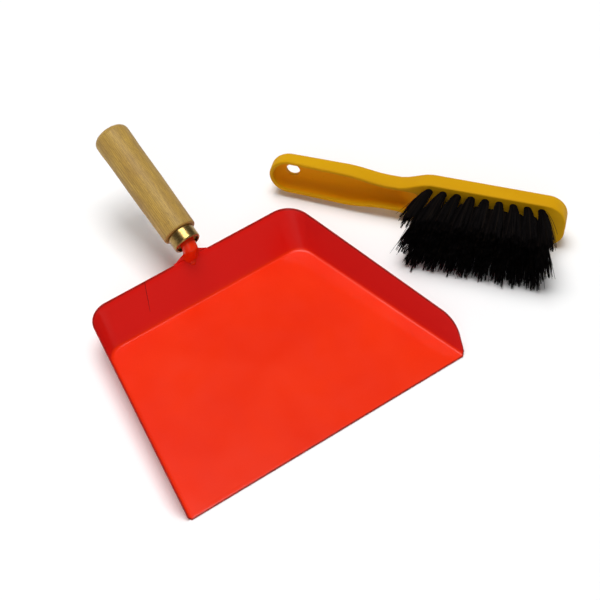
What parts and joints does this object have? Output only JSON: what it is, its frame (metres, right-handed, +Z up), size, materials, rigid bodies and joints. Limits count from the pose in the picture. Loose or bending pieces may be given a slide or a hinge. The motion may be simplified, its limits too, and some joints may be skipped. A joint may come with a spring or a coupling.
{
  "type": "dust pan and brush set",
  "caption": "Child-size dust pan of enamelled sheet steel with a turned wooden grip, and a loose hand brush with dark bristles in a yellow plastic body.",
  "frame": {"origin": "middle of the pan's floor, on its underside, which lies on the ground", "axes": "+X across the pan to the side where the brush lies, +Y from the lip towards the handle, +Z up"},
  "size_m": [0.3443, 0.2557, 0.0769],
  "materials": {
    "pan_enamel": "glossy orange-red enamel over thin steel sheet",
    "ferrule_brass": "lacquered brass, lightly tarnished",
    "beech": "sanded beech with a thin satin varnish",
    "yellow_plastic": "smooth moulded plastic, golden yellow",
    "bristle": "stiff black bristle with a faint sheen",
    "anchor_wire": "flat drawn steel wire"
  },
  "bodies": {
    "pan": {"pan_shell": "pan_enamel", "handle_tang": "pan_enamel", "tang_rivet": "pan_enamel", "ferrule": "ferrule_brass", "wooden_grip": "beech"},
    "brush": {"brush_body": "yellow_plastic", "tuft_anchors": "anchor_wire", "tuft_01": "bristle", "tuft_02": "bristle", "tuft_03": "bristle", "tuft_04": "bristle", "tuft_05": "bristle", "tuft_06": "bristle", "tuft_07": "bristle", "tuft_08": "bristle", "tuft_09": "bristle", "tuft_10": "bristle", "tuft_11": "bristle", "tuft_12": "bristle", "tuft_13": "bristle", "tuft_14": "bristle", "tuft_15": "bristle", "tuft_16": "bristle", "tuft_17": "bristle", "tuft_18": "bristle", "tuft_19": "bristle", "tuft_20": "bristle", "tuft_21": "bristle", "tuft_22": "bristle", "tuft_23": "bristle", "tuft_24": "bristle", "tuft_25": "bristle", "tuft_26": "bristle", "tuft_27": "bristle", "tuft_28": "bristle", "tuft_29": "bristle", "tuft_30": "bristle", "tuft_31": "bristle", "tuft_32": "bristle", "tuft_33": "bristle", "tuft_34": "bristle"}
  },
  "joints": [
    {"name": "brush_lift", "type": "slide", "parent": "pan", "child": "brush", "axis": [0, 0, 1], "range_m": [0, 0.15]}
  ]
}
